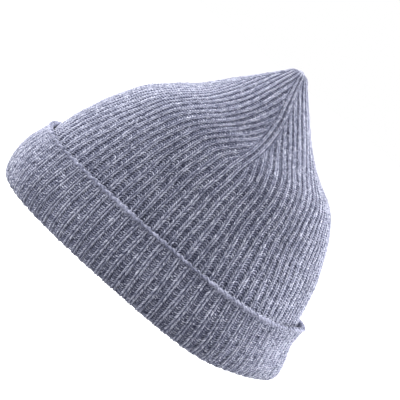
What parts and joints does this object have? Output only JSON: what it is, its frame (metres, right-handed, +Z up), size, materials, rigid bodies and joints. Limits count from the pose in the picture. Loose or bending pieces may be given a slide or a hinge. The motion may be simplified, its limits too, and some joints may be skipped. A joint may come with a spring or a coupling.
{
  "type": "knit beanie",
  "caption": "Rib-knit beanie with a turned-up cuff and a gathered, pointed crown closed by darts; it warms the head and ears.",
  "frame": {"origin": "centre of the head opening, on the plane of the folded edge that the hat stands on", "axes": "+Z up through the tip of the crown, -X towards the front of the hat, +Y towards the wearer's right"},
  "size_m": [0.216, 0.172, 0.1658],
  "materials": {
    "crown_knit": "heather blue-grey 1x1 rib knit, face side, soft and slightly fuzzy",
    "cuff_knit": "heather blue-grey 1x1 rib knit, reverse side, soft and slightly fuzzy",
    "edge_yarn": "bound-off chain of the same heather yarn",
    "thread": "matte sewing thread in a darker blue-grey",
    "label_ribbon": "blank off-white woven ribbon, satin"
  },
  "bodies": {
    "hat": {"knit_body": "crown_knit", "crown_gore_front_left": "crown_knit", "crown_gore_back_left": "crown_knit", "crown_gore_back_right": "crown_knit", "crown_gore_front_right": "crown_knit", "dart_thread_back": "thread", "dart_thread_right": "thread", "dart_thread_front": "thread", "dart_thread_left": "thread", "back_seam_thread": "thread", "tip_thread": "thread"},
    "turned_cuff": {"cuff": "cuff_knit", "cuff_fold": "cuff_knit", "cuff_edge_chain": "edge_yarn"},
    "label": {"care_label": "label_ribbon"}
  },
  "joints": [
    {"name": "cuff_turn_down", "type": "slide", "parent": "hat", "child": "turned_cuff", "axis": [0, 0, -1], "range_m": [0, 0.034]},
    {"name": "label_flip", "type": "hinge", "parent": "hat", "child": "label", "pos_m": [0.0953, -0.0015, 0.025], "axis": [0, 0, -1], "range_deg": [0, 100]}
  ]
}
